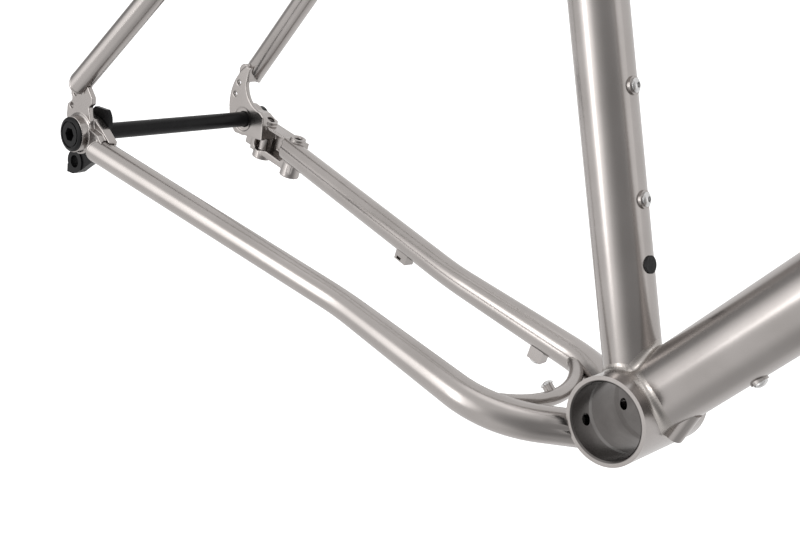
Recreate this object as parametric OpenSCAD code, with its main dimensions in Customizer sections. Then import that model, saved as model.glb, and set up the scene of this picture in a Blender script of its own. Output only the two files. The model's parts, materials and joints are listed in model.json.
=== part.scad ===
// Bicycle frame for disc brakes and a bolt-through rear axle.
// Origin: centre of the bottom bracket shell. +X forward, +Y to the left, +Z up.

/* [Frame layout] */
// Distance from bottom bracket to rear axle
chainstay_len = 440; // [438:1:442]
// Height of the rear axle above the bottom bracket
bb_drop = 75; // [74:1:76]
// Seat tube angle from the ground
seat_angle = 73; // [72.5:0.5:73.5]
// Seat tube length, centre to top
seat_len = 520; // [510:5:560]
// Down tube angle from the ground
down_angle = 47.2; // [46.5:0.1:48]
// Down tube length, centre to steering axis
down_len = 640; // [620:5:660]
// Head tube angle from the ground
head_angle = 71.5; // [70:0.5:73]
// Head tube length
head_len = 150; // [130:5:180]
// Rear hub width between the dropouts
hub_w = 142; // [142:1:142]

/* [Tube sizes] */
// Bottom bracket shell width
shell_w = 68; // [68:1:68]
// Bottom bracket shell outer radius
shell_r = 26.5; // [26:0.5:27]
// Bottom bracket thread radius
shell_bore_r = 23; // [22.8:0.1:23.2]
// Seat tube outer radius
seat_r = 17.45; // [17.45:0.05:17.5]
// Seat post bore radius
post_bore_r = 15.8; // [15.6:0.1:15.9]
// Down tube outer radius
down_r = 22.5; // [22:0.5:23]
// Top tube outer radius
top_r = 15.9; // [14:0.5:17]
// Head tube outer radius
head_r = 25.4; // [25:0.2:26]
// Headset bore radius
head_bore_r = 22; // [22:0.1:22.1]
// Chainstay radius at the dropout
cstay_r = 9.1; // [9:0.1:9.2]
// Chainstay radius at the shell
cstay_front_r = 11.1; // [10.5:0.1:11.2]
// Seatstay radius
sstay_r = 8; // [7.8:0.1:8]
// Wall thickness of the tubes
wall = 1; // [0.8:0.1:1.1]

/* [Rear axle] */
// Axle radius
axle_r = 5.95; // [5.9:0.01:5.97]
// Axle bore radius in the left dropout
axle_bore_r = 6.03; // [6.02:0.01:6.05]
// Bore radius for the axle nut in the right dropout
nut_bore_r = 8.5; // [8.4:0.1:8.6]

/* [Fittings] */
// Thread radius of the small bolts
bolt_r = 2.1; // [2:0.05:2.2]
// Distance of the lower bottle bolt along the seat tube
bottle_s = 121; // [118:1:124]
// Distance between two bottle bolts
bottle_pitch = 64; // [64:1:64]
// Distance between the brake mounting holes
brake_pitch = 34; // [34:1:34]

/* [Hidden] */
$fn = 64;
titanium = [0.60, 0.58, 0.56];
steel = [0.78, 0.78, 0.78];
black = [0.05, 0.05, 0.05];

axle_x = -sqrt(chainstay_len * chainstay_len - bb_drop * bb_drop);
axle = [axle_x, 0, bb_drop];
half_hub = hub_w / 2;
stay_y = 82.8;
stay_slope = 12.73;
end_turn = 46;
// Corner points of the right chainstay's centre line, mirrored for the left
knee = [axle_x + 244, -55.4, 16];
shoulder = [axle_x + 373.4, -59.5, -13.2];
stay_back = [axle_x + 8.6, -stay_y, 69.3];
end_dir = [cos(end_turn), sin(end_turn), -0.06];
stay_end = shoulder + 70 * end_dir;
cstay_path = [stay_back, knee, shoulder, stay_end];
cstay_bends = [181, 67];
// Corner points of the right seatstay's centre line
sstay_back = [axle_x - 4.4, -82.9, 110];
sstay_knee = [axle_x + 236.5, -44.6, 380];
sstay_top = [axle_x + 297, -9.5, 453];
sstay_path = [sstay_back, sstay_knee, sstay_top];
sstay_bends = [90];
plate_t = 7;
far = 2000;
// A bend is this much thicker than the runs, which reach this far into it
bend_lip = 0.06;
run_lap = 2;
rim_cut = 0.7;
rim_lip = 1.2;
vent_r = 3.7;
// Outer radius of a boss's sleeve and height of its flange
sleeve_r = 4;
boss_h = 1.2;
plug_hole_r = 4;
// Wall of the seat tube below the seat post's bore, which starts at butt_s
seat_wall = 1.2;
butt_s = 210;
plug_s = 84;
underside_s = 78;
down_bottle_s = 200;
collar_h = 14;
head_joint = down_len * [cos(down_angle), 0, sin(down_angle)];
head_dir = [-cos(head_angle), 0, sin(head_angle)];
seat_dir = [-cos(seat_angle), 0, sin(seat_angle)];
top_front = head_joint + (head_len - 62) * head_dir;
top_back = 478 * seat_dir;
head_low = 27;

// ---- helpers ----------------------------------------------------------

function unit(v) = v / norm(v);
function turn_angle(a, b) = acos(unit(a) * unit(b));
function bend_t(p, i, r) = r * tan(turn_angle(p[i] - p[i - 1], p[i + 1] - p[i]) / 2);

// Places its children with local x, y, z along the three given unit vectors
module frame_at(o, x, y, z) {
    multmatrix([[x[0], y[0], z[0], o[0]], [x[1], y[1], z[1], o[1]], [x[2], y[2], z[2], o[2]], [0, 0, 0, 1]])
        children();
}

// Turns local +Z to the direction between two points, starting at the first
module along(a, b) {
    z = unit(b - a);
    y = unit(cross(z, abs(z[1]) > 0.9 ? [1, 0, 0] : [0, 1, 0]));
    frame_at(a, cross(y, z), y, z) children();
}

module rod(a, b, r1, r2, extra = 0) {
    along(a, b) translate([0, 0, -extra])
        cylinder(r1 = r1, r2 = r2, h = norm(b - a) + 2 * extra);
}

// A round bend that joins two straight runs at corner i of a path
module bend(p, i, bend_r, r) {
    u = unit(p[i] - p[i - 1]);
    v = unit(p[i + 1] - p[i]);
    t = bend_t(p, i, bend_r);
    n = unit(cross(u, v));
    side = cross(n, u);
    frame_at(p[i] - t * u + bend_r * side, -side, u, n)
        rotate_extrude(angle = turn_angle(u, v), $fn = 180) translate([bend_r, 0]) circle(r = r + bend_lip);
}

// One run of a bent tube, from corner i - 1 to corner i, its ends just inside its bends
module run(p, i, bends, r1, r2, extra = 0) {
    u = unit(p[i] - p[i - 1]);
    t0 = i > 1 ? bend_t(p, i - 1, bends[i - 2]) - run_lap : -extra;
    t1 = i < len(p) - 1 ? bend_t(p, i, bends[i - 1]) - run_lap : -extra;
    rod(p[i - 1] + t0 * u, p[i] - t1 * u, r1, r2);
}

module cstay_solid(inset, extra = 0) {
    r = cstay_r - inset;
    rf = cstay_front_r - inset;
    run(cstay_path, 1, cstay_bends, r, r, extra);
    bend(cstay_path, 1, cstay_bends[0], r);
    run(cstay_path, 2, cstay_bends, r, rf);
    bend(cstay_path, 2, cstay_bends[1], rf);
    run(cstay_path, 3, cstay_bends, rf, rf, extra);
}

module sstay_solid(inset, extra = 0) {
    r = sstay_r - inset;
    run(sstay_path, 1, sstay_bends, r, r, 12 + extra);
    bend(sstay_path, 1, sstay_bends[0], r);
    run(sstay_path, 2, sstay_bends, r, r, extra);
}

module left_side() { mirror([0, 1, 0]) children(); }

// Local +Z runs along the tube and local +X points to its front or underside
module on_seat_tube(s, x = 0) { rotate([0, seat_angle - 90, 0]) translate([x, 0, s]) children(); }
module on_down_tube(s, x = 0) { rotate([0, 90 - down_angle, 0]) translate([x, 0, s]) children(); }
module on_head_tube(s, x = 0) {
    translate(head_joint) rotate([0, head_angle - 90, 0]) translate([x, 0, s]) children();
}
module at_axle(y) { translate([axle_x, y, bb_drop]) rotate([90, 0, 0]) children(); }

module shell_solid() { rotate([90, 0, 0]) cylinder(r = shell_r, h = shell_w, center = true); }
module seat_solid() { on_seat_tube(0) cylinder(r = seat_r, h = seat_len); }
module down_solid() { on_down_tube(0) cylinder(r = down_r, h = down_len); }
module head_solid() { on_head_tube(-head_low) cylinder(r = head_r, h = head_len); }
module head_outer() {
    head_solid();
    on_head_tube(-head_low) cylinder(r = head_r + rim_lip, h = 7);
    on_head_tube(head_len - head_low - 7) cylinder(r = head_r + rim_lip, h = 7);
}

module top_solid() { rod(top_back, top_front, top_r, top_r); }

function arc(c, r, a0, a1, n = 20) =
    [for (i = [0 : n]) c + r * [cos(a0 + (a1 - a0) * i / n), sin(a0 + (a1 - a0) * i / n)]];

// Outline of a round link between two circles
module link2d(a, ra, b, rb) {
    w = atan2(b[1] - a[1], b[0] - a[0]);
    q = acos((ra - rb) / norm(b - a));
    polygon(concat(arc(b, rb, w - q, w + q), arc(a, ra, w + q, w + 360 - q)));
}

// Button head bolt with a hex socket: head above z = 0, shank below
module button_bolt(len, head_r = 4.2, head_h = 2.6) {
    difference() {
        union() {
            intersection() {
                translate([0, 0, head_h - 6.2]) sphere(r = 6.2);
                cylinder(r = head_r, h = head_h);
            }
            translate([0, 0, -len]) cylinder(r = bolt_r - 0.06, h = len + 0.01);
        }
        translate([0, 0, head_h - 1.9]) cylinder(r = 1.75, h = 3, $fn = 6);
    }
}

// Threaded sleeve with a flange that lies on the tube at z = 0
module boss(depth, flange_r = 5.4, flange_h = boss_h) {
    difference() {
        union() {
            translate([0, 0, -0.9]) cylinder(r = flange_r, h = flange_h + 0.9);
            translate([0, 0, -depth]) cylinder(r = sleeve_r, h = depth);
        }
        translate([0, 0, -depth - 1]) cylinder(r = bolt_r, h = depth + 20);
    }
}

// ---- main tubes -------------------------------------------------------

// Round holes from the bore into the two chainstays
module vent_holes() {
    for (s = [-1, 1])
        translate([0, 20 * s, 0]) rotate([0, 155 + 90, 0]) cylinder(r = vent_r, h = 40);
}

// Half of the shell's wall in section: rim chamfer, thread, and relief between the threads
function shell_half(k) = [[shell_r, k * shell_w / 2], [shell_bore_r + rim_cut, k * shell_w / 2],
    [shell_bore_r, k * (shell_w / 2 - rim_cut)], [shell_bore_r, k * 16], [shell_bore_r + 0.7, k * 12]];
function back_to_front(v) = [for (i = [len(v) - 1 : -1 : 0]) v[i]];

module bb_shell() {
    color(titanium) difference() {
        rotate([90, 0, 0]) rotate_extrude($fn = 128)
            polygon(concat(shell_half(1), back_to_front(shell_half(-1))));
        vent_holes();
    }
}

module bottle_holes(s0) {
    for (i = [0, 1]) translate([0, 0, s0 + i * bottle_pitch]) rotate([0, 90, 0]) cylinder(r = sleeve_r, h = 60);
}

module seat_tube() {
    color(titanium) difference() {
        seat_solid();
        on_seat_tube(-1) cylinder(r = seat_r - seat_wall, h = butt_s + 1);
        on_seat_tube(butt_s - 0.1) cylinder(r1 = seat_r - seat_wall, r2 = post_bore_r, h = 10.2);
        on_seat_tube(butt_s + 10) cylinder(r = post_bore_r, h = seat_len);
        on_seat_tube(seat_len - 38, -far / 2) cube([far, 1.6, 80], center = true);
        shell_solid();
        on_seat_tube(0) bottle_holes(bottle_s);
        on_seat_tube(plug_s) rotate([0, 90, 0]) cylinder(r = plug_hole_r, h = 60);
    }
}

module down_tube() {
    color(titanium) difference() {
        down_solid();
        on_down_tube(-1) cylinder(r = down_r - wall - 0.1, h = down_len + 2);
        shell_solid();
        seat_solid();
        head_outer();
        on_down_tube(0) mirror([1, 0, 0]) bottle_holes(down_bottle_s);
        on_down_tube(underside_s) rotate([0, 90, 0]) cylinder(r = sleeve_r, h = 60);
        port_bore();
    }
}

module head_tube() {
    color(titanium) difference() {
        head_outer();
        on_head_tube(-head_low - 1) cylinder(r = head_bore_r, h = head_len + 2);
    }
}

module top_tube() {
    color(titanium) difference() {
        top_solid();
        rod(top_back, top_front, top_r - wall, top_r - wall, 1);
        seat_solid();
        head_outer();
    }
}

// ---- stays ------------------------------------------------------------

right_cut = 15;
left_cut = 63;
sstay_cut = 5;
mitre_w = 60;
cap_t = 1.6;

// Everything behind the left chainstay's square end
module behind_cstay() {
    along(stay_back, knee) translate([0, 0, left_cut - far / 2])
        cube([mitre_w, mitre_w, far], center = true);
}

// Everything behind the right chainstay's slanted end, which reaches further back on its outer side
module cstay_mitre(back = 0) {
    along(stay_back, knee) translate([0, 0, right_cut]) rotate([0, -28.8, 0])
        translate([0, 0, -back - far / 2]) cube([mitre_w, mitre_w, far], center = true);
}

// Everything behind a seatstay's slanted end, which reaches further down on its outer side
module sstay_mitre(back = 0) {
    along(sstay_back, sstay_knee) translate([0, 0, sstay_cut]) rotate(a = -38, v = [-0.572, 0.82, 0])
        translate([0, 0, -back - far / 2]) cube([mitre_w, mitre_w, far], center = true);
}

module chainstay() {
    difference() {
        cstay_solid(0);
        cstay_solid(wall, 1);
        shell_solid();
    }
}

module chainstay_right() {
    color(titanium) difference() {
        chainstay();
        cstay_mitre();
    }
}

module chainstay_left() {
    color(titanium) left_side() difference() {
        chainstay();
        behind_cstay();
    }
}

module seatstay() {
    difference() {
        sstay_solid(0);
        sstay_solid(wall - 0.1, 1);
        sstay_mitre();
        seat_solid();
    }
}

module seatstay_right() { color(titanium) seatstay(); }
module seatstay_left() { color(titanium) left_side() seatstay(); }

bridge_r = 4.9;
bridge_bend = 72;
bridge_x = -57.5;
bridge_z = -13.8;

// Local frame of the curved bridge: x towards the shell along the stays, y to the left
module at_bridge() { translate([bridge_x, 0, bridge_z]) rotate([0, stay_slope, 0]) children(); }

module bridge_torus(r) {
    at_bridge() translate([-bridge_bend, 0, 0]) rotate([0, 0, -52])
        rotate_extrude(angle = 104, $fn = 180) translate([bridge_bend, 0]) circle(r = r);
}

module chainstay_bridge() {
    color(titanium) difference() {
        bridge_torus(bridge_r);
        bridge_torus(bridge_r - 0.9);
        cstay_solid(0);
        left_side() cstay_solid(0);
        shell_solid();
        at_bridge() rotate([0, -60, 0]) cylinder(r = 3.5, h = 20);
    }
}

module seatstay_bridge() {
    p = [axle_x + 236, -60, 380.5];
    color(titanium) difference() {
        rod(p, p + [0, 120, 0], 6.4, 6.4);
        rod(p, p + [0, 120, 0], 5.4, 5.4, 1);
        sstay_solid(0);
        left_side() sstay_solid(0);
        translate([-far / 2, -far - 44.6, -far / 2]) cube([far, far, far]);
        translate([-far / 2, 44.6, -far / 2]) cube([far, far, far]);
        translate(p + [0, 60, 0]) rotate([0, 150, 0]) cylinder(r = 3.5, h = 20);
    }
}

// ---- dropouts ---------------------------------------------------------

eyelets = [[-7.4, 28.3], [-11, 18.6]];
cup = [21.5, 29.5];
cup_r = 20;
tail_r = 37.3;

// Side outline about the axle: round tail, concave wheel side, flat lower edge
module plate2d_left() {
    difference() {
        intersection() {
            translate([20, 11]) circle(r = tail_r, $fn = 128);
            polygon([[-20, -3], [-8, -12.5], [24, -12.5], [24, 6], [11, 16], [6, 42], [-6, 42],
                [-20, 46]]);
        }
        translate(cup) circle(r = cup_r, $fn = 96);
    }
    circle(r = 13);
}

module tail2d_right() {
    polygon([[-9.5, 40], [-12.4, 30], [-12.4, 26.5], [-11, 25], [-11, 22.5], [-16.2, 18.6], [-17, 10], [-12, 2],
        [0, -5], [12, 2], [12, 12], [9.5, 21], [12.8, 23.6], [12.8, 28.4], [9, 33], [3, 40]]);
}

module base2d_right() {
    circle(r = 15.5);
    polygon([[0, -14], [17, -14], [29, -10], [31, 0], [22, 7], [12, 13], [5, 14]]);
}

// Draws a side outline as a plate from y0 to y1
module side_plate(y0, y1) {
    translate([axle_x, y1, bb_drop]) rotate([90, 0, 0]) linear_extrude(height = y1 - y0) children();
}

module eyelet_holes() {
    for (e = eyelets)
        translate([axle_x + e[0], 0, bb_drop + e[1]]) rotate([90, 0, 0])
            cylinder(r = bolt_r, h = 400, center = true);
}

// Space that a seatstay takes above its slanted end
module sstay_space() {
    difference() {
        along(sstay_back, sstay_knee) translate([0, 0, -20]) cylinder(r = sstay_r + 0.3, h = 80);
        sstay_mitre();
    }
}

// Slanted lid on a seatstay's end
module sstay_cap() {
    intersection() {
        along(sstay_back, sstay_knee) translate([0, 0, -20]) cylinder(r = sstay_r + 0.2, h = 60);
        difference() {
            sstay_mitre();
            sstay_mitre(cap_t);
        }
    }
}

module cstay_cap() {
    intersection() {
        along(stay_back, knee) translate([0, 0, -10]) cylinder(r = cstay_r + 0.2, h = 60);
        difference() {
            cstay_mitre();
            cstay_mitre(cap_t);
        }
    }
}

module dropout_right() {
    color(titanium) difference() {
        union() {
            side_plate(-half_hub - 3 - plate_t, -half_hub - 3) base2d_right();
            side_plate(tail_y, tail_y + 3.8) tail2d_right();
            side_plate(tail_y - 1.5, -half_hub - 5)
                polygon([[10, -12.2], [27, -9], [28.5, -2], [23, 3.5], [10, 7]]);
            at_axle(-half_hub - 5) cylinder(r = boss_r, h = 9);
            at_axle(-half_hub - 12) cylinder(r1 = 13.6, r2 = 12.9, h = nut_face - 12);
            sstay_cap();
            cstay_cap();
        }
        at_axle(0) cylinder(r = nut_bore_r, h = 200);
        at_axle(-half_hub + 1) cylinder(r = 14.2, h = 4);
        eyelet_holes();
        sstay_space();
        difference() {
            along(stay_back, knee) cylinder(r = cstay_r + 0.3, h = 60);
            cstay_mitre();
        }
    }
}

boss_r = 14.6;
// Outer face of the right plate's tail, and the nut's seat measured from the hub's face
tail_y = -84.2;
nut_face = 19.8;

// Outer face of the left boss, where the washer sits
washer_seat = half_hub + 13;

post_top = 11.5;
post_bottom = -20.9;
post_r = 6.2;
post_y = 81.5;
brake_mid = 27.8;
brake_bore_r = 2.75;

// Local frame on the left chainstay's rear run: +Z along the stay, +X down, s from its rear point
module on_left_stay(s, x = 0) {
    translate([stay_back[0], stay_y, stay_back[2]]) rotate([0, 90 + stay_slope, 0]) rotate([6.6, 0, 0])
        translate([x, 0, s]) children();
}

// Brake frame: z up at a right angle to the stay, x forward along it
module at_brake(dx = 0) {
    translate([stay_back[0], post_y, stay_back[2]]) rotate([0, stay_slope, 0])
        translate([brake_mid + dx, 0, 0]) children();
}

module brake_post() {
    translate([0, 0, post_bottom]) cylinder(r1 = 8, r2 = post_r, h = post_top - post_bottom - 4);
    translate([0, 0, post_top - 4.5]) cylinder(r = post_r, h = 4.5);
}

module brake_holes() {
    for (s = [-1, 1]) at_brake(s * brake_pitch / 2) {
        translate([0, 0, post_bottom - 5]) cylinder(r = brake_bore_r, h = 60);
        translate([0, 0, post_top - 1]) cylinder(r1 = brake_bore_r, r2 = 3.8, h = 1.01);
        translate([0, 0, post_bottom - 0.01]) cylinder(r1 = 4.2, r2 = brake_bore_r, h = 1.5);
    }
}

// Side outline of the hollow between the brake posts, x forward and z up about their middle
module pocket2d() {
    polygon([[-22.4, -3], [-21, 1.5], [-17, 4.5], [-8, 6], [7, 6.3], [11.5, 5], [11.5, -9], [9, -11.5],
        [-8, -11], [-16, -14], [-20.5, -13.5], [-22.4, -11]]);
}

module brake_block() {
    difference() {
        union() {
            for (s = [-1, 1]) at_brake(s * brake_pitch / 2) brake_post();
            at_brake() translate([-brake_pitch / 2 - 9, -6.6, -16.5]) cube([brake_pitch + 15, 14, 25]);
            at_brake() translate([-brake_pitch / 2 - 16, -6, -14.5]) cube([20, 9.5, 20]);
        }
        at_brake() translate([0, 4.5, 0]) rotate([90, 0, 0]) linear_extrude(height = 20) pocket2d();
    }
    at_brake(-brake_pitch / 2) translate([0, 0, -16]) cylinder(r = 4.6, h = 24);
}

module brake_body() {
    brake_block();
    left_side() along(stay_back, knee) translate([0, 0, 38]) cylinder(r = cstay_r, h = left_cut - 38);
}

module dropout_left() {
    color(titanium) difference() {
        union() {
            side_plate(half_hub, half_hub + 3.6) plate2d_left();
            at_axle(washer_seat) cylinder(r = 12.5, h = 10);
            left_side() sstay_cap();
            side_plate(half_hub + 0.5, 82.5) link2d([-0.2, 33], 3.3, [-2.6, 38], 6);
            side_plate(half_hub + 1, 86)
                polygon([[4, -11.2], [16, -12], [24, -12], [24, 3], [16, 7.5], [8, 9]]);
            brake_body();
        }
        at_axle(0) mirror([0, 0, 1]) cylinder(r = axle_bore_r, h = 200);
        at_axle(half_hub + 0.9) cylinder(r = 9.6, h = 4);
        at_axle(washer_seat + 60.04) cylinder(r = 13.6, h = 60);
        eyelet_holes();
        brake_holes();
        left_side() sstay_space();
    }
}

// ---- hanger and axle --------------------------------------------------

hanger_hole = [-9.6, -23];
hanger_bore_r = 4.6;
tongue_y = -half_hub - 10;

module hanger_plate() {
    translate([axle_x, -half_hub, bb_drop]) rotate([90, 0, 0]) linear_extrude(height = 3) difference() {
        union() {
            circle(r = 14);
            intersection() {
                link2d([0, 0], 14, [10, 12], 10.5);
                translate([-20, -20]) square([45, 40]);
            }
            link2d([0, 0], 12, [-9, -22], 7);
        }
        circle(r = nut_bore_r);
    }
}

module derailleur_hanger() {
    color(black) difference() {
        union() {
            hanger_plate();
            side_plate(tongue_y, -half_hub - 2.9) translate(hanger_hole) circle(r = 8.4);
            side_plate(tongue_y + 1, -half_hub - 2.9) difference() {
                link2d([-9, -23], 8, [6, -16], 5);
                circle(r = 15.7);
                translate([0, -14.4]) square([30, 30]);
            }
            translate([axle_x - 18, tongue_y, bb_drop - 32.4]) cube([7, 8, 6]);
        }
        side_plate(-300, 0) translate(hanger_hole) circle(r = hanger_bore_r);
        at_axle(-half_hub - 3) cylinder(r = 15.7, h = 40);
        translate([axle_x + 14, 0, bb_drop + 13]) rotate([90, 0, 0]) cylinder(r = 1.6, h = 200);
    }
}

module hanger_screw() {
    color(black) translate([axle_x + 14, -half_hub, bb_drop + 13]) rotate([-90, 0, 0]) difference() {
        union() {
            cylinder(r = 3, h = 1.2);
            translate([0, 0, -3]) cylinder(r = 1.55, h = 3.2);
        }
        translate([0, 0, 0.4]) cylinder(r = 1.2, h = 3, $fn = 6);
    }
}

module axle_nut() {
    color(black) at_axle(-half_hub) difference() {
        union() {
            cylinder(r = nut_bore_r - 0.05, h = nut_face + 0.05);
            translate([0, 0, nut_face]) cylinder(r = 12.3, h = 1.2);
            translate([0, 0, nut_face + 1.2]) cylinder(r1 = 12.3, r2 = 10.6, h = 0.9);
        }
        translate([0, 0, -1]) cylinder(r = axle_bore_r, h = 17);
        translate([0, 0, 15]) cylinder(r = 5.2, h = 10, $fn = 6);
        translate([0, 0, nut_face + 1.3]) difference() {
            cylinder(r = 9.7, h = 2);
            translate([0, 0, -1]) cylinder(r = 8.6, h = 4);
        }
    }
}

module thru_axle() {
    color(black) at_axle(half_hub + 16.1) difference() {
        union() {
            cylinder(r = axle_r, h = 16.1 + hub_w + 14);
            translate([0, 0, 16.1 + hub_w + 14]) cylinder(r1 = axle_r, r2 = axle_r - 1, h = 1);
            translate([0, 0, -4.5]) cylinder(r = 9.5, h = 4.5);
            translate([0, 0, -6]) cylinder(r1 = 8, r2 = 9.5, h = 1.5);
        }
        translate([0, 0, -7]) cylinder(r = 3.46, h = 8, $fn = 6);
        translate([0, 0, 16.1 + hub_w + 7]) cylinder(r = 3, h = 20);
    }
}

module axle_washer() {
    color(black) at_axle(half_hub + 16) difference() {
        cylinder(r1 = 9.5, r2 = 11.5, h = 2.9);
        translate([0, 0, -1]) cylinder(r = axle_bore_r, h = 6);
    }
}

// ---- bosses, bolts and guides ----------------------------------------

module seat_tube_bosses() {
    color(titanium) difference() {
        for (i = [0, 1]) on_seat_tube(bottle_s + i * bottle_pitch, seat_r) rotate([0, 90, 0]) boss(9);
        difference() {
            seat_solid();
            on_seat_tube(0) bottle_holes(bottle_s);
            on_seat_tube(-1) cylinder(r = seat_r - seat_wall, h = butt_s + 1);
        }
    }
}

module seat_tube_bolts() {
    color(steel) for (i = [0, 1])
        on_seat_tube(bottle_s + i * bottle_pitch, seat_r + boss_h) rotate([0, 90, 0]) button_bolt(10);
}

module down_tube_bosses() {
    color(titanium) difference() {
        for (i = [0, 1]) on_down_tube(down_bottle_s + i * bottle_pitch, -down_r) rotate([0, -90, 0]) boss(9);
        difference() {
            down_solid();
            on_down_tube(0) mirror([1, 0, 0]) bottle_holes(down_bottle_s);
            on_down_tube(-1) cylinder(r = down_r - wall - 0.1, h = down_len);
        }
    }
}

module down_tube_bolts() {
    color(steel) for (i = [0, 1])
        on_down_tube(down_bottle_s + i * bottle_pitch, -down_r - boss_h) rotate([0, -90, 0]) button_bolt(10);
}

module underside_boss() {
    color(titanium) difference() {
        on_down_tube(underside_s, down_r) rotate([0, 90, 0]) boss(9);
        difference() {
            down_solid();
            on_down_tube(underside_s) rotate([0, 90, 0]) cylinder(r = sleeve_r, h = 60);
            on_down_tube(-1) cylinder(r = down_r - wall - 0.1, h = down_len);
        }
    }
}

module underside_bolt() {
    color(steel) on_down_tube(underside_s, down_r + boss_h) rotate([0, 90, 0]) button_bolt(10);
}

// Frame of the cable port: +Z runs back along its opening, at a shallow angle to the tube
port_len = 21;
port_r = 6.2;
port_bore_r = 3.6;

module at_port() { on_down_tube(34, 17.2) translate([0, -3, 0]) rotate([0, 162, 0]) children(); }
module port_bore() { at_port() translate([0, 0, -16]) cylinder(r = port_bore_r, h = 60); }

module cable_port() {
    color(titanium) difference() {
        at_port() cylinder(r = port_r, h = port_len);
        down_solid();
        shell_solid();
        at_port() translate([0, 0, -1]) cylinder(r = port_bore_r, h = 60);
    }
}

module port_grommet() {
    color(black) difference() {
        at_port() translate([0, 0, port_len - 4]) cylinder(r = port_bore_r, h = 4);
        at_port() translate([0, 0, port_len - 8]) cylinder(r = 2.5, h = 20);
        shell_solid();
        down_solid();
    }
}

module seat_tube_plug() {
    color(black) on_seat_tube(plug_s) {
        difference() {
            translate([16, 0, 0]) rotate([0, 90, 0]) cylinder(r = 5.2, h = 2.5);
            cylinder(r = seat_r, h = 40, center = true);
        }
        translate([11, 0, 0]) rotate([0, 90, 0]) cylinder(r = plug_hole_r - 0.05, h = 6.6);
    }
}

guide_rear_s = 196;

// Small welded block under the stay with a slot for a cable tie
module hose_guide_rear() {
    color(titanium) difference() {
        on_left_stay(guide_rear_s) translate([9.5, -2, 0]) cube([8.5, 8, 12], center = true);
        left_side() cstay_solid(0);
        on_left_stay(guide_rear_s) translate([11.8, 0, -1.5]) cube([2, 20, 4.5], center = true);
    }
}

front_guide = knee + 0.641 * (shoulder - knee);

module at_front_guide() {
    translate([front_guide[0], -front_guide[1], front_guide[2]]) rotate([0, stay_slope, 0]) children();
}

module hose_guide_front() {
    color(titanium) difference() {
        at_front_guide() translate([0, -4, -11.5]) cube([11, 8, 9], center = true);
        left_side() cstay_solid(0);
        at_front_guide() translate([0, -4, -20]) cylinder(r = bolt_r, h = 12);
    }
}

module guide_screw() {
    color(steel) at_front_guide() translate([0, -4, -16]) rotate([180, 0, 0]) button_bolt(4);
}

module bridge_boss_solid() { cylinder(r = 3.45, h = 7.4); }

module bridge_bosses() {
    color(titanium) difference() {
        union() {
            at_bridge() rotate([0, -60, 0]) translate([0, 0, 1]) bridge_boss_solid();
            translate([axle_x + 236, 0, 380.5]) rotate([0, 150, 0]) translate([0, 0, 1]) bridge_boss_solid();
        }
        at_bridge() rotate([0, -60, 0]) cylinder(r = bolt_r, h = 20);
        translate([axle_x + 236, 0, 380.5]) rotate([0, 150, 0]) cylinder(r = bolt_r, h = 20);
    }
}

module bridge_bolts() {
    color(steel) {
        at_bridge() rotate([0, -60, 0]) translate([0, 0, 8.4]) button_bolt(7);
        translate([axle_x + 236, 0, 380.5]) rotate([0, 150, 0]) translate([0, 0, 8.4]) button_bolt(7);
    }
}

// ---- seat collar ------------------------------------------------------

collar_r = seat_r + 3.6;
ear_x = -collar_r - 4.5;

module seat_collar() {
    color(black) on_seat_tube(seat_len - 13) difference() {
        union() {
            cylinder(r = collar_r, h = collar_h);
            translate([-collar_r - 10, -9, 0]) cube([14, 18, collar_h]);
        }
        translate([0, 0, -1]) cylinder(r = seat_r + 0.02, h = collar_h);
        translate([0, 0, -1]) cylinder(r = post_bore_r + 0.3, h = 20);
        translate([-collar_r - 11, -0.8, -1]) cube([collar_r, 1.6, 20]);
        translate([ear_x, 20, 7]) rotate([90, 0, 0]) cylinder(r = 2.6, h = 40);
        translate([ear_x, -20 + 14.5, 7]) rotate([90, 0, 0]) cylinder(r = 4.5, h = 20);
        translate([ear_x, 25.5, 7]) rotate([90, 0, 0]) cylinder(r = 4.5, h = 20);
    }
}

module collar_bolt() {
    color(steel) on_seat_tube(seat_len - 6) translate([ear_x, -5.5, 0]) rotate([90, 0, 0]) difference() {
        union() {
            cylinder(r = 4.2, h = 4);
            translate([0, 0, -14]) cylinder(r = 2.1, h = 14.1);
        }
        translate([0, 0, 1.5]) cylinder(r = 2, h = 4, $fn = 6);
    }
}

module collar_nut() {
    color(steel) on_seat_tube(seat_len - 6) translate([ear_x, 5.5, 0]) rotate([-90, 0, 0]) difference() {
        cylinder(r = 4.2, h = 4);
        translate([0, 0, -1]) cylinder(r = 2.15, h = 12);
    }
}

bb_shell();
seat_tube();
down_tube();
top_tube();
head_tube();
chainstay_right();
chainstay_left();
seatstay_right();
seatstay_left();
chainstay_bridge();
seatstay_bridge();
dropout_right();
dropout_left();
derailleur_hanger();
hanger_screw();
axle_nut();
thru_axle();
axle_washer();
seat_tube_bosses();
seat_tube_bolts();
down_tube_bosses();
down_tube_bolts();
underside_boss();
underside_bolt();
cable_port();
port_grommet();
seat_tube_plug();
hose_guide_rear();
hose_guide_front();
guide_screw();
bridge_bosses();
bridge_bolts();
seat_collar();
collar_bolt();
collar_nut();
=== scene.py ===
import json
import math
import bmesh
import bpy
from mathutils import Matrix, Vector


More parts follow.
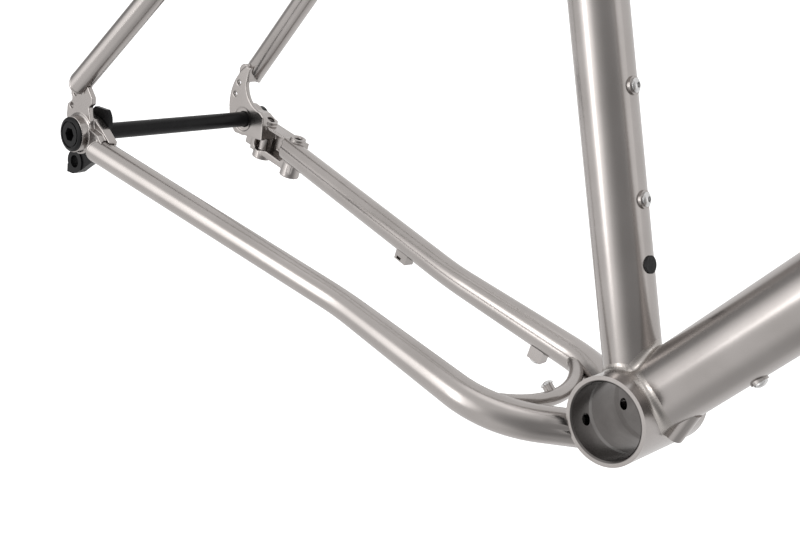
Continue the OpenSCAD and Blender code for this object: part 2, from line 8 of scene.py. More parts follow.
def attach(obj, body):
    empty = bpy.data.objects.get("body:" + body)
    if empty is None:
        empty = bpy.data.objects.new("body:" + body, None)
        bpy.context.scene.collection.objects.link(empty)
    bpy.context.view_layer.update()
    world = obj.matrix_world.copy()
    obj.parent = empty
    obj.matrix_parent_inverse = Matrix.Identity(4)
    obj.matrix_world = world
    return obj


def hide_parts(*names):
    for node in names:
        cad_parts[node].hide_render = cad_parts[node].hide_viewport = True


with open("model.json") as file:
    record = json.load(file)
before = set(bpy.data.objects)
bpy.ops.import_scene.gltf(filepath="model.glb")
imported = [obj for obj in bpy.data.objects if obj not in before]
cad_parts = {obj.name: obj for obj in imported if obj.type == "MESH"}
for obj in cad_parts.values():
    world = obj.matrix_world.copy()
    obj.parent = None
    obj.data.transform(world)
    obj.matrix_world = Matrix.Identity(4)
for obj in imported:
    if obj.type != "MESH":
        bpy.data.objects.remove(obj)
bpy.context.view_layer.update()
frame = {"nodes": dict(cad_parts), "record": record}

NODES = frame["nodes"]
MM = 0.001
# Pieces are built on the right; side 1 mirrors them to the left
SIDES = ((-1, "right"), (1, "left"))

# ---- camera: the studio view from the front right ----------------------

CAM_AZIMUTH = 40.181
CAM_ELEVATION = 16.937
CAM_ROLL = 6.562
CAM_PLACE = Vector((0.355082, -0.647196, 0.289332))
CAM_LENS = 60.24
CAM_SENSOR = 36.0


def make_camera():
    az, el, roll = (math.radians(a) for a in (CAM_AZIMUTH, CAM_ELEVATION, CAM_ROLL))
    back = Vector((math.sin(az) * math.cos(el), -math.cos(az) * math.cos(el), math.sin(el)))
    right = Vector((0, 0, 1)).cross(back).normalized()
    up = back.cross(right)
    cam_x = math.cos(roll) * right + math.sin(roll) * up
    cam_y = math.cos(roll) * up - math.sin(roll) * right
    data = bpy.data.cameras.new("camera")
    data.lens = CAM_LENS
    data.sensor_width = CAM_SENSOR
    data.clip_start = 0.01
    data.clip_end = 50
    cam = bpy.data.objects.new("camera", data)
    turn = Matrix((cam_x, cam_y, back)).transposed().to_4x4()
    cam.matrix_world = Matrix.Translation(CAM_PLACE) @ turn
    bpy.context.scene.collection.objects.link(cam)
    bpy.context.scene.camera = cam


# ---- studio: white floor and backdrop, and a sky of soft lobes ----------
# Each lobe lies where the metal mirrors it towards the camera.

FLOOR_Z = -0.42
FLOOR_HALF = 12.0
FLOOR_GREY = 0.4
FLOOR_GLOW = 0.95

KEY_DIR = Vector((-0.40, -0.90, 0.15)).normalized()
FILL_DIR = Vector((0.96, 0.20, 0.17)).normalized()
TOP_DIR = Vector((0.08, -0.08, 0.99)).normalized()
DARK_DIR = Vector((0.84, -0.54, -0.02)).normalized()
FLAG_DIR = Vector((-0.96, -0.10, 0.26)).normalized()
GROUND_DIR = Vector((0.62, -0.05, -0.78)).normalized()

SKY = 0.98
BACKDROP = 1.0
SKY_TINT = (1, 0.992, 0.99, 1)
# Direction, inner and outer half angle in degrees, and amount added or share taken away
BRIGHT = [(KEY_DIR, 5, 32, 1.15), (FILL_DIR, 3, 24, 0.40), (TOP_DIR, 3, 24, 0.80)]
DARK = [(DARK_DIR, 12, 60, 0.62), (FLAG_DIR, 10, 30, 0.62), (GROUND_DIR, 10, 48, 0.40)]

STRIP_SIZE = (0.5, 1.6)
STRIP_POWER = 6
STRIP_DISTANCE = 2.2


def stage_material():
    mat = bpy.data.materials.new("studio_white")
    mat.use_nodes = True
    bsdf = mat.node_tree.nodes["Principled BSDF"]
    bsdf.inputs["Base Color"].default_value = (FLOOR_GREY, FLOOR_GREY, FLOOR_GREY, 1)
    bsdf.inputs["Roughness"].default_value = 1.0
    bsdf.inputs["Emission Color"].default_value = (1, 1, 1, 1)
    bsdf.inputs["Emission Strength"].default_value = FLOOR_GLOW
    return mat


def make_stage():
    mesh = bpy.data.meshes.new("floor")
    w = FLOOR_HALF
    corners = [(-w, -w, FLOOR_Z), (w, -w, FLOOR_Z), (w, w, FLOOR_Z), (-w, w, FLOOR_Z)]
    mesh.from_pydata(corners, [], [(0, 1, 2, 3)])
    floor = bpy.data.objects.new("floor", mesh)
    mesh.materials.append(stage_material())
    bpy.context.scene.collection.objects.link(floor)
    floor.visible_glossy = False


def lobe(nodes, links, direction, inner, outer, amount):
    """A soft round patch of the sky about a direction."""
    coords = nodes.new("ShaderNodeTexCoord")
    dot = nodes.new("ShaderNodeVectorMath")
    dot.operation = "DOT_PRODUCT"
    dot.inputs[1].default_value = direction
    links.new(coords.outputs["Generated"], dot.inputs[0])
    fall = nodes.new("ShaderNodeMapRange")
    fall.interpolation_type = "SMOOTHSTEP"
    fall.inputs["From Min"].default_value = math.cos(math.radians(outer))
    fall.inputs["From Max"].default_value = math.cos(math.radians(inner))
    fall.inputs["To Min"].default_value = 0.0
    fall.inputs["To Max"].default_value = amount
    links.new(dot.outputs["Value"], fall.inputs["Value"])
    return fall.outputs["Result"]


def combine(nodes, links, a, b, operation="ADD"):
    """One Math node; each side is a number or an output of another node."""
    node = nodes.new("ShaderNodeMath")
    node.operation = operation
    for socket, value in zip(node.inputs, (a, b)):
        if isinstance(value, float):
            socket.default_value = value
        else:
            links.new(value, socket)
    return node.outputs[0]


def make_world():
    world = bpy.data.worlds.new("studio")
    bpy.context.scene.world = world
    world.use_nodes = True
    nodes, links = world.node_tree.nodes, world.node_tree.links
    total = SKY
    for patch in BRIGHT:
        total = combine(nodes, links, total, lobe(nodes, links, *patch))
    for patch in DARK:
        left = combine(nodes, links, 1.0, lobe(nodes, links, *patch), "SUBTRACT")
        total = combine(nodes, links, total, left, "MULTIPLY")
    backdrop = nodes.new("ShaderNodeMix")
    camera_ray = nodes.new("ShaderNodeLightPath").outputs["Is Camera Ray"]
    links.new(camera_ray, backdrop.inputs["Factor"])
    links.new(total, backdrop.inputs["A"])
    backdrop.inputs["B"].default_value = BACKDROP
    links.new(backdrop.outputs["Result"], nodes["Background"].inputs["Strength"])
    nodes["Background"].inputs["Color"].default_value = SKY_TINT


def make_lights():
    """A slim strip in the middle of the key lobe gives the crisp line along each tube."""
    data = bpy.data.lights.new("strip", "AREA")
    data.shape = "RECTANGLE"
    data.size, data.size_y = STRIP_SIZE
    data.energy = STRIP_POWER
    light = bpy.data.objects.new("strip", data)
    place = KEY_DIR * STRIP_DISTANCE
    light.location = place
    light.rotation_euler = (-place).to_track_quat("-Z", "Y").to_euler()
    bpy.context.scene.collection.objects.link(light)


# ---- materials ---------------------------------------------------------

# The part of a noise's values that is spread over a range of tones or of roughness
NOISE_SPAN = (0.3, 0.7)

# Dark and light tone of each material
TITANIUM_TONES = ((0.375, 0.352, 0.338), (0.425, 0.400, 0.386))
WELD_TONES = ((0.385, 0.360, 0.340), (0.455, 0.428, 0.406))
# The stays' insides are painted near black: painted shade inside the hollow tubes
INSIDE_SHADE_TONES = ((0.025, 0.023, 0.022), (0.05, 0.047, 0.045))
# The shell's bore is painted dark: painted shade inside the bore
BORE_SHADE_TONES = ((0.11, 0.102, 0.098), (0.16, 0.15, 0.144))
STEEL_TONES = ((0.55, 0.55, 0.55), (0.68, 0.675, 0.67))
ANODISED_TONES = ((0.004, 0.004, 0.0045), (0.007, 0.007, 0.0075))
RUBBER_TONES = ((0.010, 0.010, 0.010), (0.020, 0.020, 0.020))

# Roughness from the glossiest to the dullest spot
TITANIUM_ROUGH = (0.205, 0.255)
WELD_ROUGH = (0.22, 0.30)
INSIDE_ROUGH = (0.55, 0.7)

# Radii in metres between which the painted shade of the shell's bore gives way to its outside
BORE_SHADE_EDGE = (0.0239, 0.0243)


def new_material(name):
    mat = bpy.data.materials.new(name)
    mat.use_nodes = True
    return mat, mat.node_tree.nodes, mat.node_tree.links


def noise(nodes, links, scale, detail, stretch=None):
    """Noise in object space; stretch squeezes it along the three axes."""
    coords = nodes.new("ShaderNodeTexCoord")
    source = coords.outputs["Object"]
    if stretch:
        mapping = nodes.new("ShaderNodeMapping")
        mapping.inputs["Scale"].default_value = stretch
        links.new(source, mapping.inputs["Vector"])
        source = mapping.outputs["Vector"]
    tex = nodes.new("ShaderNodeTexNoise")
    tex.inputs["Scale"].default_value = scale
    tex.inputs["Detail"].default_value = detail
    links.new(source, tex.inputs["Vector"])
    return tex.outputs["Fac"]


def ranged(nodes, links, source, low, high, span=NOISE_SPAN):
    """Spreads the span of the source's values over low to high."""
    node = nodes.new("ShaderNodeMapRange")
    node.inputs["From Min"].default_value, node.inputs["From Max"].default_value = span
    node.inputs["To Min"].default_value = low
    node.inputs["To Max"].default_value = high
    links.new(source, node.inputs["Value"])
    return node.outputs["Result"]


def tinted(nodes, links, source, tones):
    ramp = nodes.new("ShaderNodeValToRGB")
    for stop, place, tone in zip(ramp.color_ramp.elements, NOISE_SPAN, tones):
        stop.position = place
        stop.color = (*tone, 1)
    links.new(source, ramp.inputs["Fac"])
    return ramp.outputs["Color"]


def bumped(nodes, links, source, bsdf, distance, strength):
    bump = nodes.new("ShaderNodeBump")
    bump.inputs["Strength"].default_value = strength
    bump.inputs["Distance"].default_value = distance
    links.new(source, bump.inputs["Height"])
    links.new(bump.outputs["Normal"], bsdf.inputs["Normal"])


def titanium(name="brushed_titanium", tones=TITANIUM_TONES, rough=TITANIUM_ROUGH):
    """Satin brushed titanium: cloudy tone, fine grain, short hairlines and uneven gloss."""
    mat, nodes, links = new_material(name)
    bsdf = nodes["Principled BSDF"]
    bsdf.inputs["Metallic"].default_value = 1.0
    clouds = noise(nodes, links, scale=28, detail=4)
    grain = noise(nodes, links, scale=1500, detail=2)
    hairs = noise(nodes, links, scale=260, detail=3, stretch=(1.0, 1.0, 9.0))
    links.new(tinted(nodes, links, clouds, tones), bsdf.inputs["Base Color"])
    fine = combine(nodes, links, grain, 0.25, "MULTIPLY")
    mixed = combine(nodes, links, fine, combine(nodes, links, hairs, 0.75, "MULTIPLY"))
    links.new(ranged(nodes, links, mixed, *rough), bsdf.inputs["Roughness"])
    bumped(nodes, links, mixed, bsdf, distance=0.00004, strength=0.12)
    return mat


def speckled(name, tones, tone_noise, rough, rough_scale, bump_noise, distance, strength):
    """Tone, gloss and fine relief each follow a noise of their own, given by scale and detail."""
    mat, nodes, links = new_material(name)
    bsdf = nodes["Principled BSDF"]
    tone = tinted(nodes, links, noise(nodes, links, *tone_noise), tones)
    links.new(tone, bsdf.inputs["Base Color"])
    gloss = ranged(nodes, links, noise(nodes, links, rough_scale, detail=3), *rough)
    links.new(gloss, bsdf.inputs["Roughness"])
    bumped(nodes, links, noise(nodes, links, *bump_noise), bsdf, distance, strength)
    return mat, bsdf


def stainless():
    mat, bsdf = speckled("stainless_steel", STEEL_TONES, tone_noise=(300, 3),
                         rough=(0.12, 0.24), rough_scale=900,
                         bump_noise=(1800, 2), distance=0.00003, strength=0.25)
    bsdf.inputs["Metallic"].default_value = 1.0
    return mat


def anodised():
    mat, bsdf = speckled("black_anodised", ANODISED_TONES, tone_noise=(120, 4),
                         rough=(0.30, 0.42), rough_scale=1400,
                         bump_noise=(2600, 2), distance=0.00003, strength=0.3)
    bsdf.inputs["Specular IOR Level"].default_value = 0.16
    return mat


def rubber():
    mat, bsdf = speckled("black_rubber", RUBBER_TONES, tone_noise=(200, 4),
                         rough=(0.55, 0.75), rough_scale=700,
                         bump_noise=(1600, 3), distance=0.00008, strength=0.5)
    bsdf.inputs["Specular IOR Level"].default_value = 0.25
    return mat


def shell_titanium_bore_shaded():
    """The shell's metal: its bore is painted darker than the brushed outside, as painted shade
    inside the bore.
    """
    mat = titanium("shell_titanium_bore_shaded")
    nodes, links = mat.node_tree.nodes, mat.node_tree.links
    colour = nodes["Principled BSDF"].inputs["Base Color"]
    coords = nodes.new("ShaderNodeTexCoord")
    flat = nodes.new("ShaderNodeVectorMath")
    flat.operation = "MULTIPLY"
    flat.inputs[1].default_value = (1, 0, 1)
    links.new(coords.outputs["Object"], flat.inputs[0])
    reach = nodes.new("ShaderNodeVectorMath")
    reach.operation = "LENGTH"
    links.new(flat.outputs["Vector"], reach.inputs[0])
    outside = ranged(nodes, links, reach.outputs["Value"], 0.0, 1.0, BORE_SHADE_EDGE)
    mix = nodes.new("ShaderNodeMix")
    mix.data_type = "RGBA"
    links.new(outside, mix.inputs["Factor"])
    clouds = noise(nodes, links, scale=60, detail=3)
    links.new(tinted(nodes, links, clouds, BORE_SHADE_TONES), mix.inputs["A"])
    links.new(colour.links[0].from_socket, mix.inputs["B"])
    links.new(mix.outputs["Result"], colour)
    return mat


MATERIALS = {
    "titanium": titanium(),
    "steel": stainless(),
    "black_anodised": anodised(),
    "black_rubber": rubber(),
}
# Near-black titanium for the stays' inside faces, as painted shade
SHADED_INSIDE = titanium("tube_inside_painted_shade", INSIDE_SHADE_TONES, INSIDE_ROUGH)
WELD = titanium("weld_titanium", WELD_TONES, WELD_ROUGH)

# ---- frame geometry in millimetres, as in the CAD model -----------------

SEAT_ANGLE = 73.0
DOWN_ANGLE = 47.2
HEAD_ANGLE = 71.5
STAY_SLOPE = 12.73
STAY_LENGTH = 440.0
BB_DROP = 75.0
SHELL_HALF = 34.0
DOWN_LENGTH = 640
TOP_ON_SEAT = 478
TOP_ON_HEAD = 88
LEFTWARD = Vector((0, 1, 0))


def slanted(angle):
    return Vector((math.cos(math.radians(angle)), 0, math.sin(math.radians(angle))))


class Tube:
    """A straight round tube: a point on its axis, its direction and its radius."""

    def __init__(self, point, direction, radius):
        self.p = Vector(point)
        self.d = Vector(direction).normalized()
        self.r = radius

    def radial(self, q):
        return ((q - self.p) - self.d * (q - self.p).dot(self.d)).normalized()

    def onto_surface(self, q, lift=0.0):
        foot = self.p + self.d * (q - self.p).dot(self.d)
        return foot + self.radial(q) * (self.r + lift)

    def first_hit(self, start, ray, radius=None):
        """Distance along the ray to this tube's skin, or None if the ray misses."""
        w = start - self.p
        a_vec = ray - self.d * ray.dot(self.d)
        w_vec = w - self.d * w.dot(self.d)
        a, b = a_vec.dot(a_vec), a_vec.dot(w_vec)
        c = w_vec.dot(w_vec) - (radius or self.r) ** 2
        disc = b * b - a * c
        if a < 1e-9 or disc < 0:
            return None
        return (-b - math.sqrt(disc)) / a


AXLE = Vector((-math.sqrt(STAY_LENGTH ** 2 - BB_DROP ** 2), 0, BB_DROP))
SEAT_DIR = slanted(180 - SEAT_ANGLE)
DOWN_DIR = slanted(DOWN_ANGLE)
HEAD_DIR = slanted(180 - HEAD_ANGLE)
HEAD_JOINT = DOWN_DIR * DOWN_LENGTH
TOP_BACK = SEAT_DIR * TOP_ON_SEAT
TOP_FRONT = HEAD_JOINT + HEAD_DIR * TOP_ON_HEAD

SHELL = Tube((0, 0, 0), LEFTWARD, 26.5)
SEAT = Tube((0, 0, 0), SEAT_DIR, 17.45)
DOWN = Tube((0, 0, 0), DOWN_DIR, 22.5)
HEAD = Tube(HEAD_JOINT, HEAD_DIR, 25.4)
TOP = Tube(TOP_BACK, TOP_FRONT - TOP_BACK, 15.9)

# Corner points of the right stays from the axle forward; y changes sign on the left.
# The chainstay's front run turns inwards by FRONT_TURN degrees and falls slightly.
FRONT_TURN = math.radians(46)
FRONT_FALL = -0.06
FRONT_RUN = 82
CSTAY_PATH = [AXLE + Vector((8.6, -82.8, -5.7)), AXLE + Vector((244, -55.4, -59)),
              AXLE + Vector((373.4, -59.5, -88.2))]
CSTAY_PATH.append(CSTAY_PATH[2] + FRONT_RUN
                  * Vector((math.cos(FRONT_TURN), math.sin(FRONT_TURN), FRONT_FALL)))
CSTAY_BENDS = [181, 67]
CSTAY_R = (9.1, 11.1)
SSTAY_PATH = [AXLE + Vector((-4.4, -82.9, 35)), AXLE + Vector((236.5, -44.6, 305)),
              AXLE + Vector((297, -9.5, 378))]
SSTAY_BENDS = [90]
SSTAY_R = 8.0

BRIDGE_R = 4.9
BRIDGE_BEND = 72.0
BRIDGE_REACH = 50
BRIDGE_STEPS = 60
BRIDGE_TOP = Vector((-57.5, 0, -13.8))
UPPER_BRIDGE_R = 6.4
UPPER_BRIDGE_MID = AXLE + Vector((236, 0, 305.5))
UPPER_BRIDGE_HALF = 44.6

# Forward and upward directions along the chainstays, seen from the side
STAY_AHEAD = Vector((math.cos(math.radians(STAY_SLOPE)), 0, -math.sin(math.radians(STAY_SLOPE))))
STAY_UP = Vector((math.sin(math.radians(STAY_SLOPE)), 0, math.cos(math.radians(STAY_SLOPE))))

# ---- mesh helpers -------------------------------------------------------

SHARP_ANGLE = math.radians(45)
LONG_STEP = 12.0
TURN_STEP = 2.0
TUBE_SIDES = 56
BRIDGE_SIDES = 40


def solid_mesh(name, verts, faces):
    """A mesh in metres whose faces all look outwards."""
    mesh = bpy.data.meshes.new(name)
    mesh.from_pydata(verts, [], faces)
    mesh.validate()
    bm = bmesh.new()
    bm.from_mesh(mesh)
    bmesh.ops.recalc_face_normals(bm, faces=bm.faces)
    bm.to_mesh(mesh)
    bm.free()
    return mesh


def add_piece(name, verts, faces, slot, body="root", replaces=()):
    """Makes a mesh from points in millimetres and fastens it to a body."""
    mesh = solid_mesh(name, [v * MM for v in verts], faces)
    mesh.shade_smooth()
    mesh.set_sharp_from_angle(angle=SHARP_ANGLE)
    mesh.materials.append(MATERIALS[slot])
    piece = bpy.data.objects.new(name, mesh)
    bpy.context.scene.collection.objects.link(piece)
    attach(piece, body)
    if replaces:
        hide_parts(*replaces)
    return piece


def skin(rings, closed=False):
    """Points and faces of the skin through rings that have the same count of points."""
    n = len(rings[0])
    verts = [q for ring in rings for q in ring]
    faces = []
    last = len(rings) if closed else len(rings) - 1
    for i in range(last):
        a, b = i * n, ((i + 1) % len(rings)) * n
        for j in range(n):
            k = (j + 1) % n
            faces.append((a + j, a + k, b + k, b + j))
    if not closed:
        faces.append(tuple(range(n))[::-1])
        faces.append(tuple(range((len(rings) - 1) * n, len(rings) * n)))
    return verts, faces


def rounded_path(corners, bends):
    """Points along a line of straight runs whose corners are rounded to the given radii."""
    points = [corners[0]]

    def run_to(q):
        pieces = max(1, int((q - points[-1]).length / LONG_STEP))
        for left in range(pieces, 0, -1):
            points.append(points[-1].lerp(q, 1 / left))

    for i, radius in enumerate(bends, start=1):
        u = (corners[i] - corners[i - 1]).normalized()
        v = (corners[i + 1] - corners[i]).normalized()
        turn = u.angle(v)
        start = corners[i] - u * radius * math.tan(turn / 2)
        inward = (v - u * u.dot(v)).normalized()
        centre = start + inward * radius
        run_to(start)
        count = max(4, int(math.degrees(turn) / TURN_STEP))
        for k in range(1, count + 1):
            a = turn * k / count
            points.append(centre - inward * radius * math.cos(a) + u * radius * math.sin(a))
    run_to(corners[-1])
    return points


def sweep_rings(points, radius_at, sides=TUBE_SIDES):
    """Round rings along a path, each square to it, without twist."""
    rings = []
    side = None
    for i, q in enumerate(points):
        ahead = points[min(i + 1, len(points) - 1)] - points[max(i - 1, 0)]
        t = ahead.normalized()
        if side is None:
            side = t.cross(Vector((0, 0, 1))).normalized()
        side = (side - t * t.dot(side)).normalized()
        up = t.cross(side)
        r = radius_at(q)
        rings.append([q + (side * math.cos(a) + up * math.sin(a)) * r
                      for a in (2 * math.pi * j / sides for j in range(sides))])
    return rings


def flip(rings, side):
    """The rings on the right (side -1) or mirrored to the left (side 1)."""
    return [[Vector((q.x, -side * q.y, q.z)) for q in ring] for ring in rings]


# ---- stays --------------------------------------------------------------

# The skins lie this far outside the CAD tubes, and their walls are this thick
SWELL = 0.06
WALL = 1.0
# Where the skins begin along the stays' rear runs, and the slant of those ends in degrees
RIGHT_CUT = 15.0
LEFT_CUT = 60.0
RIGHT_TILT = 28.8
SSTAY_CUT = 5
SSTAY_TILT = 38
SSTAY_LEAN = (0.82, 0.572)
# Rings closer than this to a slanted end or to another tube are left out
END_CLEAR = 12
SKIN_CLEAR = 1
# How deep the front ends reach into the tube they meet
CSTAY_SINK = 1.2
SSTAY_SINK = 1.0
RIM_BACK = 0.5


def local_axes(a, b):
    """The axes that the CAD model uses along a run from a to b; z points along it."""
    z = (b - a).normalized()
    y = z.cross(LEFTWARD).normalized()
    return y.cross(z), y, z


def plane_trim(ring, along, point, normal):
    """Slides each point of a ring along a direction until it lies on a plane."""
    rate = along.dot(normal)
    return [q + along * ((point - q).dot(normal) / rate) for q in ring]


def trim_to(rings, tube, depth):
    """Ends the rings just inside another tube's skin."""
    keep = [ring for ring in rings
            if all((q - tube.onto_surface(q)).dot(tube.radial(q)) > SKIN_CLEAR for q in ring)]
    u = (rings[-1][0] - rings[-2][0]).normalized()
    end = []
    for q in keep[-1]:
        hit = tube.first_hit(q, u, tube.r - depth)
        end.append(q + u * (tube.r if hit is None else hit))
    return keep + [end]


def behind_rim(rings):
    """Pulls the last ring in behind the shell's end face, where the weld closes the joint."""
    limit = SHELL_HALF - RIM_BACK
    return rings[:-1] + [[Vector((q.x, max(q.y, -limit), q.z)) for q in rings[-1]]]


def cstay_radius(q):
    """The chainstay swells along its middle run."""
    share = (q.x - CSTAY_PATH[1].x) / (CSTAY_PATH[2].x - CSTAY_PATH[1].x)
    return CSTAY_R[0] + (CSTAY_R[1] - CSTAY_R[0]) * min(1, max(0, share)) + SWELL


def cstay_rings(side, inset=0.0):
    """Rings of a chainstay: rear end slanted on the right, square on the left, front mitred."""
    path = rounded_path(CSTAY_PATH, CSTAY_BENDS)
    x, _, z = local_axes(CSTAY_PATH[0], CSTAY_PATH[1])
    start = CSTAY_PATH[0] + z * (RIGHT_CUT if side < 0 else LEFT_CUT)
    path = [q for q in path if (q - start).dot(z) > END_CLEAR]
    rings = sweep_rings([start] + path, lambda q: cstay_radius(q) - inset)
    if side < 0:
        tilt = math.radians(RIGHT_TILT)
        rings[0] = plane_trim(rings[0], z, start, z * math.cos(tilt) - x * math.sin(tilt))
    return behind_rim(trim_to(rings, SHELL, CSTAY_SINK))


def sstay_rings(inset=0.0):
    """Rings of a seatstay, slanted at the dropout and mitred to the seat tube."""
    x, y, z = local_axes(SSTAY_PATH[0], SSTAY_PATH[1])
    start = SSTAY_PATH[0] + z * SSTAY_CUT
    path = [q for q in rounded_path(SSTAY_PATH, SSTAY_BENDS) if (q - start).dot(z) > END_CLEAR]
    rings = sweep_rings([start] + path, lambda q: SSTAY_R + SWELL - inset)
    tilt = math.radians(SSTAY_TILT)
    lean = x * SSTAY_LEAN[0] + y * SSTAY_LEAN[1]
    rings[0] = plane_trim(rings[0], z, start, z * math.cos(tilt) - lean * math.sin(tilt))
    return trim_to(rings, SEAT, SSTAY_SINK)


def hollow_tube(name, node, side, outer, inner):
    """A skin that runs along the outside and back along the inside of a tube; the inside is
    painted near black as painted shade.
    """
    rings = flip(outer + inner[::-1], side)
    piece = add_piece(name, *skin(rings, closed=True), "titanium", replaces=[node])
    # The inside faces take the near-black painted-shade material
    piece.data.materials.append(SHADED_INSIDE)
    first = len(outer) * len(outer[0])
    for face in piece.data.polygons:
        face.material_index = 1 if min(face.vertices) >= first else 0


def make_stays():
    for side, word in SIDES:
        hollow_tube("chainstay_skin_" + word, "chainstay_" + word, side,
                    cstay_rings(side), cstay_rings(side, WALL))
        hollow_tube("seatstay_skin_" + word, "seatstay_" + word, side,
                    sstay_rings(), sstay_rings(WALL))


# ---- welds --------------------------------------------------------------

WELD_STEPS = 240
FILLET_STEPS = 8
RIPPLE_PITCH = 1.7
RIPPLE_HEIGHT = 0.07
# The bead's edge stands this far off the metal, then runs out and dips into it
EDGE_LIFT = 0.02
EDGE_RUN = 0.7
EDGE_SINK = 0.07
# The bead's middle stands off by a share of its width; its root lies inside the metal
CROWN_SHARE = 0.09
ROOT_DEPTH = 0.8
ROOT_SHARE = 0.8
# Near the shell's end face a bead narrows over RIM_TAPER, and beyond RIM_LIMIT there is none
RIM_GAP = 0.8
RIM_TAPER = 3.5
RIM_LEAST = 0.12
RIM_LIMIT = SHELL_HALF - 1.5
# Where a tube is sampled for its joint: far enough out to lie clear of what it meets
LONG_START = 120.0


def weld_width(a, width):
    """Width of the bead at an angle, uneven as in a hand weld."""
    return width * (1 + 0.07 * math.sin(3 * a + 0.7) + 0.04 * math.sin(7 * a + 2.1))


def square_to(d):
    """Two directions square to d and to each other."""
    across = d.cross(LEFTWARD)
    if across.length < 0.1:
        across = d.cross(Vector((1, 0, 0)))
    across.normalize()
    return across, d.cross(across)


def meeting_point(tube, targets, q):
    """Where the tube's skin line through q first meets a target, and that target."""
    best = None
    for target in targets:
        hit = target.first_hit(q, -tube.d)
        if hit is not None and (best is None or hit < best[0]):
            best = (hit, target)
    if best is None:
        # The line misses them all: take the place nearest to the first target
        target = targets[0]
        w = q - target.p
        a_vec = -tube.d + target.d * tube.d.dot(target.d)
        w_vec = w - target.d * w.dot(target.d)
        best = (-a_vec.dot(w_vec) / a_vec.dot(a_vec), target)
    return q - tube.d * best[0], best[1]


def fillet_section(p, tube, target, width, lift):
    """Cross-section of the bead at p: a hollow curve from tube to target, closed in the metal."""
    out = tube.radial(p)
    n = target.radial(p)
    spread = out - n * out.dot(n)
    if spread.length > 0.15:
        spread = spread.normalized()
    else:
        spread = (spread + tube.d * -0.2).normalized()
    a = tube.onto_surface(p + tube.d * width, EDGE_LIFT)
    b = target.onto_surface(p + spread * width, EDGE_LIFT)
    c = p + (out + n).normalized() * (CROWN_SHARE * width + lift)
    section = [tube.onto_surface(p + tube.d * (width + EDGE_RUN), -EDGE_SINK)]
    for k in range(FILLET_STEPS + 1):
        t = k / FILLET_STEPS
        section.append(a * (1 - t) ** 2 + c * 2 * t * (1 - t) + b * t ** 2)
    section.append(target.onto_surface(p + spread * (width + EDGE_RUN), -EDGE_SINK))
    section.append(target.onto_surface(p + spread * width * ROOT_SHARE, -ROOT_DEPTH))
    section.append(p - (out + n) * ROOT_DEPTH)
    section.append(tube.onto_surface(p + tube.d * width * ROOT_SHARE, -ROOT_DEPTH))
    return section


def inside_rim(p, target):
    """Narrows a bead that nears the shell's end face, so that it never hangs over the edge."""
    if target is not SHELL:
        return 1.0
    return min(1.0, max(RIM_LEAST, (SHELL_HALF - RIM_GAP - abs(p.y)) / RIM_TAPER))


def open_run(rings):
    """The rings in order from the end of the gap round to its start."""
    gap = [i for i, ring in enumerate(rings) if ring is None]
    if not gap:
        return rings
    after = [i for i in gap if rings[(i + 1) % len(rings)] is not None][0] + 1
    turned = rings[after:] + rings[:after]
    return [ring for ring in turned if ring is not None]


def weld(name, tube, targets, width, start=LONG_START, side=-1):
    """A bead round a tube where it meets its targets, open where it would leave the shell."""
    across, up = square_to(tube.d)
    ripples = max(8, int(2 * math.pi * tube.r / RIPPLE_PITCH))
    rings = []
    for i in range(WELD_STEPS):
        a = 2 * math.pi * i / WELD_STEPS
        q = tube.p + tube.d * start + (across * math.cos(a) + up * math.sin(a)) * tube.r
        p, target = meeting_point(tube, targets, q)
        if target is SHELL and abs(p.y) > RIM_LIMIT:
            rings.append(None)
            continue
        bead = weld_width(a, width) * inside_rim(p, target)
        lift = RIPPLE_HEIGHT * math.sin(2 * math.pi * i * ripples / WELD_STEPS)
        rings.append(fillet_section(p, tube, target, bead, lift))
    whole = None not in rings
    piece = add_piece(name, *skin(flip(open_run(rings), side), closed=whole), "titanium")
    piece.data.materials[0] = WELD


def outward(a, b, radius):
    """The tube whose axis starts at a and runs away towards b."""
    return Tube(a, b - a, radius)


def make_welds():
    weld("weld_seat_tube", SEAT, [SHELL], 3.6)
    weld("weld_down_tube", DOWN, [SHELL, SEAT], 4.2)
    weld("weld_down_head", Tube(HEAD_JOINT, -DOWN_DIR, DOWN.r), [HEAD], 4.2)
    weld("weld_top_seat", TOP, [SEAT], 3.4)
    weld("weld_top_head", outward(TOP_FRONT, TOP_BACK, TOP.r), [HEAD], 3.4)
    cstay = outward(CSTAY_PATH[3], CSTAY_PATH[2], CSTAY_R[1] + SWELL)
    sstay = outward(SSTAY_PATH[2], SSTAY_PATH[1], SSTAY_R + SWELL)
    for side, word in SIDES:
        weld("weld_chainstay_" + word, cstay, [SHELL], 2.4, side=side)
        weld("weld_seatstay_" + word, sstay, [SEAT], 2.8, side=side)


# ---- bridges ------------------------------------------------------------


def bridge_rings():
    """The curved chainstay bridge from one stay to the other."""
    centre = BRIDGE_TOP - STAY_AHEAD * BRIDGE_BEND
    angles = [math.radians(-BRIDGE_REACH + 2 * BRIDGE_REACH * k / BRIDGE_STEPS)
              for k in range(BRIDGE_STEPS + 1)]
    points = [centre + STAY_AHEAD * BRIDGE_BEND * math.cos(a)
              + LEFTWARD * BRIDGE_BEND * math.sin(a) for a in angles]
    return sweep_rings(points, lambda q: BRIDGE_R, BRIDGE_SIDES)


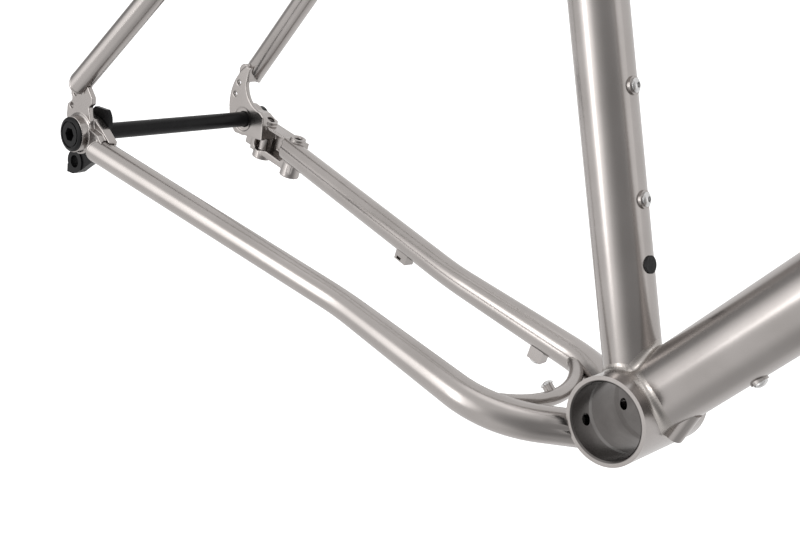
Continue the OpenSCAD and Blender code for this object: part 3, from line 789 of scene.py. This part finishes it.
def make_bridges():
    rings = bridge_rings()
    add_piece("chainstay_bridge_skin", *skin(rings), "titanium", replaces=["chainstay_bridge"])
    # The bridge's end as a straight bar, taken from two of its rings near the right stay
    outer, inner = (sum(rings[i], Vector()) / len(rings[i]) for i in (3, 9))
    bar = outward(outer, inner, BRIDGE_R)
    stay = outward(CSTAY_PATH[1], CSTAY_PATH[2], CSTAY_R[1] + SWELL - 0.3)
    for side, word in SIDES:
        weld("weld_bridge_" + word, bar, [stay], 2.4, start=30, side=side)
    upper_bar = Tube(UPPER_BRIDGE_MID - LEFTWARD * UPPER_BRIDGE_HALF, LEFTWARD, UPPER_BRIDGE_R)
    upper_stay = outward(SSTAY_PATH[0], SSTAY_PATH[1], SSTAY_R + SWELL)
    for side, word in SIDES:
        weld("weld_seatstay_bridge_" + word, upper_bar, [upper_stay], 2.2, start=40, side=side)


# ---- dropouts -----------------------------------------------------------

BRAKE_MID = 27.8
POST_Y = 81.5
# Side outline of the hollow between the brake posts, x forward and z up about their middle,
# and how far it reaches to the left and to the right of the posts
POCKET = [(-11, 5.6), (7, 6.3), (11.5, 5), (11.5, -9), (9, -11.5), (-8, -11), (-11, -12.2)]
POCKET_REACH = (4.5, -15.5)
WORN_VOXEL = 0.42
WORN_FACTOR = 0.5
WORN_ROUNDS = 4


def pocket_cutter():
    """Solid that opens the hollow between the two brake posts."""
    middle = Vector((CSTAY_PATH[0].x, POST_Y, CSTAY_PATH[0].z)) + STAY_AHEAD * BRAKE_MID
    rings = [[(middle + STAY_AHEAD * x + STAY_UP * z + LEFTWARD * y) * MM for x, z in POCKET]
             for y in POCKET_REACH]
    cutter = bpy.data.objects.new("pocket_cutter", solid_mesh("pocket_cutter", *skin(rings)))
    bpy.context.scene.collection.objects.link(cutter)
    return cutter


def worn_copy(node, cutter=None):
    """A copy of a CAD node remeshed finely and softened, as cast and ground metal is."""
    source = NODES[node]
    piece = bpy.data.objects.new(node + "_worn", source.data.copy())
    piece.matrix_world = source.matrix_world.copy()
    bpy.context.scene.collection.objects.link(piece)
    if cutter:
        cut = piece.modifiers.new("cut", "BOOLEAN")
        cut.object = cutter
        cut.solver = "EXACT"
    remesh = piece.modifiers.new("remesh", "REMESH")
    remesh.mode = "VOXEL"
    remesh.voxel_size = WORN_VOXEL * MM
    smooth = piece.modifiers.new("smooth", "SMOOTH")
    smooth.factor = WORN_FACTOR
    smooth.iterations = WORN_ROUNDS
    graph = bpy.context.evaluated_depsgraph_get()
    mesh = bpy.data.meshes.new_from_object(piece.evaluated_get(graph))
    piece.modifiers.clear()
    if cutter:
        bpy.data.objects.remove(cutter)
    piece.data = mesh
    mesh.shade_smooth()
    mesh.materials.clear()
    mesh.materials.append(MATERIALS["titanium"])
    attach(piece, "root")
    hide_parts(node)


def make_dropouts():
    worn_copy("dropout_right")
    worn_copy("dropout_left", pocket_cutter())


# ---- put together -------------------------------------------------------


def dress_nodes():
    for part in frame["record"]["subparts"]:
        mesh = NODES[part["node"]].data
        mesh.materials.clear()
        mesh.materials.append(MATERIALS[part["material_slot"]])
    # The shell gets titanium with painted shade in its bore
    NODES["bb_shell"].data.materials[0] = shell_titanium_bore_shaded()


bpy.context.scene.view_settings.view_transform = "Standard"
make_camera()
make_stage()
make_world()
make_lights()
dress_nodes()
make_stays()
make_bridges()
make_welds()
make_dropouts()
